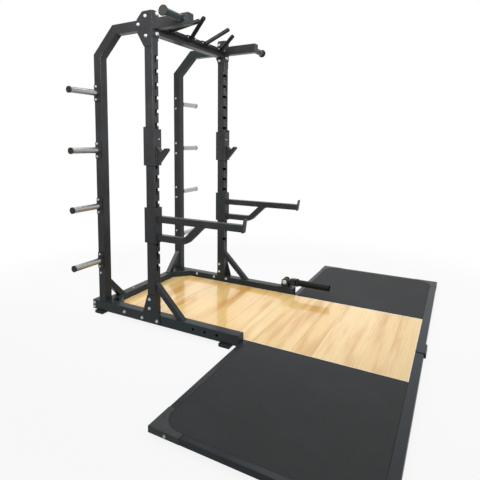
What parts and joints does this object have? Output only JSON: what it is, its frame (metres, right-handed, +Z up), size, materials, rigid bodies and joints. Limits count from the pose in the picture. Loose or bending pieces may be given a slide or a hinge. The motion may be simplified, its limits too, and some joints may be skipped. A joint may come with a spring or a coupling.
{
  "type": "squat rack",
  "caption": "Half squat rack with chin-up beam, barbell hooks, spotter arms, plate horns, a landmine pivot and an inset wood and rubber lifting platform.",
  "frame": {"origin": "on the floor, at the middle of the footprint of rack and platform together", "axes": "+Z up; -Y is the front, where the lifter stands and the platform is; +X is on the right of someone who faces the rack from there, and left in names is -X"},
  "size_m": [3.22, 2.5368, 2.4437],
  "materials": {
    "black_powder_coat": "satin black powder coat",
    "horn_chrome": "bright chrome with a black tip cap",
    "deck_wood": "light wood planks under satin varnish",
    "mat_rubber": "matt black rubber tile",
    "foot_rubber": "matt black moulded rubber",
    "grip_rubber": "matt black grip",
    "liner_plastic": "black wear strip"
  },
  "bodies": {
    "rack_and_platform": {"base_gusset_left": "black_powder_coat", "base_gusset_right": "black_powder_coat", "base_rail_left": "black_powder_coat", "base_rail_right": "black_powder_coat", "chin_up_beam": "black_powder_coat", "chin_up_handle_1": "black_powder_coat", "chin_up_handle_2": "black_powder_coat", "chin_up_handle_3": "black_powder_coat", "chin_up_handle_4": "black_powder_coat", "end_grip_left": "grip_rubber", "end_grip_right": "grip_rubber", "foot_front_left": "foot_rubber", "foot_front_right": "foot_rubber", "foot_rear_left": "foot_rubber", "foot_rear_right": "foot_rubber", "front_arm_left": "black_powder_coat", "front_arm_right": "black_powder_coat", "front_brace_left": "black_powder_coat", "front_brace_right": "black_powder_coat", "front_lock_block": "black_powder_coat", "front_upright_left": "black_powder_coat", "front_upright_right": "black_powder_coat", "horn_mount_left_1": "black_powder_coat", "horn_mount_left_2": "black_powder_coat", "horn_mount_left_3": "black_powder_coat", "horn_mount_left_4": "black_powder_coat", "horn_mount_right_1": "black_powder_coat", "horn_mount_right_2": "black_powder_coat", "horn_mount_right_3": "black_powder_coat", "horn_mount_right_4": "black_powder_coat", "landmine_base": "black_powder_coat", "rear_brace_left": "black_powder_coat", "rear_brace_right": "black_powder_coat", "rear_cross_member": "black_powder_coat", "rear_frame_left": "black_powder_coat", "rear_frame_right": "black_powder_coat", "rubber_mat_left": "mat_rubber", "rubber_mat_right": "mat_rubber", "storage_horn_left_1": "horn_chrome", "storage_horn_left_2": "horn_chrome", "storage_horn_left_3": "horn_chrome", "storage_horn_left_4": "horn_chrome", "storage_horn_right_1": "horn_chrome", "storage_horn_right_2": "horn_chrome", "storage_horn_right_3": "horn_chrome", "storage_horn_right_4": "horn_chrome", "top_gusset_left": "black_powder_coat", "top_gusset_right": "black_powder_coat", "wing_frame_left": "black_powder_coat", "wing_frame_right": "black_powder_coat", "wood_deck": "deck_wood"},
    "j_cup_left_body": {"j_cup_left": "black_powder_coat", "j_cup_liner_left": "liner_plastic"},
    "j_cup_right_body": {"j_cup_right": "black_powder_coat", "j_cup_liner_right": "liner_plastic"},
    "spotter_left_body": {"spotter_arm_left": "black_powder_coat"},
    "spotter_right_body": {"spotter_arm_right": "black_powder_coat"},
    "landmine_link_body": {"landmine_link": "black_powder_coat"},
    "landmine_sleeve_body": {"landmine_sleeve": "black_powder_coat"}
  },
  "joints": [
    {"name": "j_cup_lift_left", "type": "slide", "parent": "rack_and_platform", "child": "j_cup_left_body", "axis": [0, 0, 1], "range_m": [0, 0.026]},
    {"name": "spotter_lift_left", "type": "slide", "parent": "rack_and_platform", "child": "spotter_left_body", "axis": [0, 0, 1], "range_m": [0, 0.026]},
    {"name": "j_cup_lift_right", "type": "slide", "parent": "rack_and_platform", "child": "j_cup_right_body", "axis": [0, 0, 1], "range_m": [0, 0.026]},
    {"name": "spotter_lift_right", "type": "slide", "parent": "rack_and_platform", "child": "spotter_right_body", "axis": [0, 0, 1], "range_m": [0, 0.026]},
    {"name": "landmine_pitch", "type": "hinge", "parent": "rack_and_platform", "child": "landmine_link_body", "pos_m": [0.5605, -0.0486, 0.158], "axis": [-1, 0, 0], "range_deg": [0, 70]},
    {"name": "landmine_swivel", "type": "hinge", "parent": "landmine_link_body", "child": "landmine_sleeve_body", "pos_m": [0.5605, -0.1186, 0.158], "axis": [0, 0, 1], "range_deg": [-60, 60]}
  ]
}
